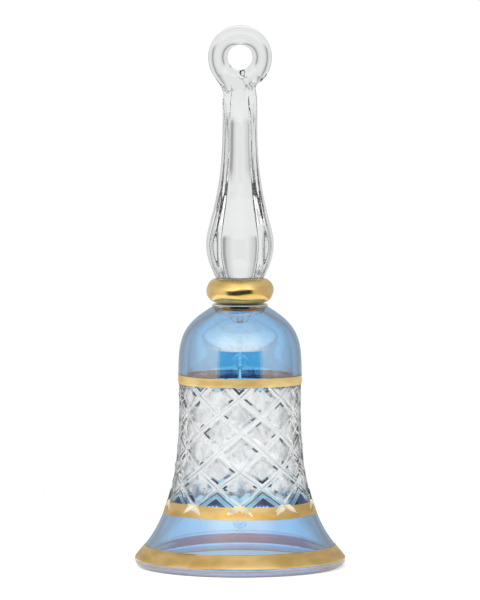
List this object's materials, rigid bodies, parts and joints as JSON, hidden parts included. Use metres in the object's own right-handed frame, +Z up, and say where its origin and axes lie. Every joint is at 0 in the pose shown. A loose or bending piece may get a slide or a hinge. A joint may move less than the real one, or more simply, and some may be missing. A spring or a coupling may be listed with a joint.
{
  "type": "glass bell",
  "caption": "Small blown glass hand bell with flared body, cut waist, gilt collar, fluted handle with hanging loop, and a clapper hung inside.",
  "frame": {"origin": "on the bell's axis in the plane of its mouth, where it stands", "axes": "+Z up along the bell's axis from the mouth to the hanging loop; the hanging loop's hole runs along Y; +X to the right seen from the front"},
  "size_m": [0.053, 0.053, 0.1354],
  "materials": {
    "blue_glass": "transparent pale blue blown glass, polished",
    "gold_lustre": "gold lustre fired on glass, bright",
    "clear_glass": "clear lampworked glass, polished",
    "bead_glass": "transparent turquoise glass, polished"
  },
  "bodies": {
    "bell": {"bell_body": "blue_glass", "neck_collar": "gold_lustre", "fluted_handle": "clear_glass", "hanging_loop": "clear_glass", "hanger_boss": "clear_glass", "clapper_hanger": "clear_glass"},
    "link": {"clapper_link": "clear_glass"},
    "clapper": {"clapper_stem": "clear_glass", "clapper_bead": "bead_glass"}
  },
  "joints": [
    {"name": "link_swing", "type": "hinge", "parent": "bell", "child": "link", "pos_m": [0, 0, 0.05665], "axis": [1, 0, 0], "range_deg": [-14, 14]},
    {"name": "clapper_swing", "type": "hinge", "parent": "link", "child": "clapper", "pos_m": [0, 0, 0.05165], "axis": [0, 1, 0], "range_deg": [-14.5, 14.5]}
  ]
}
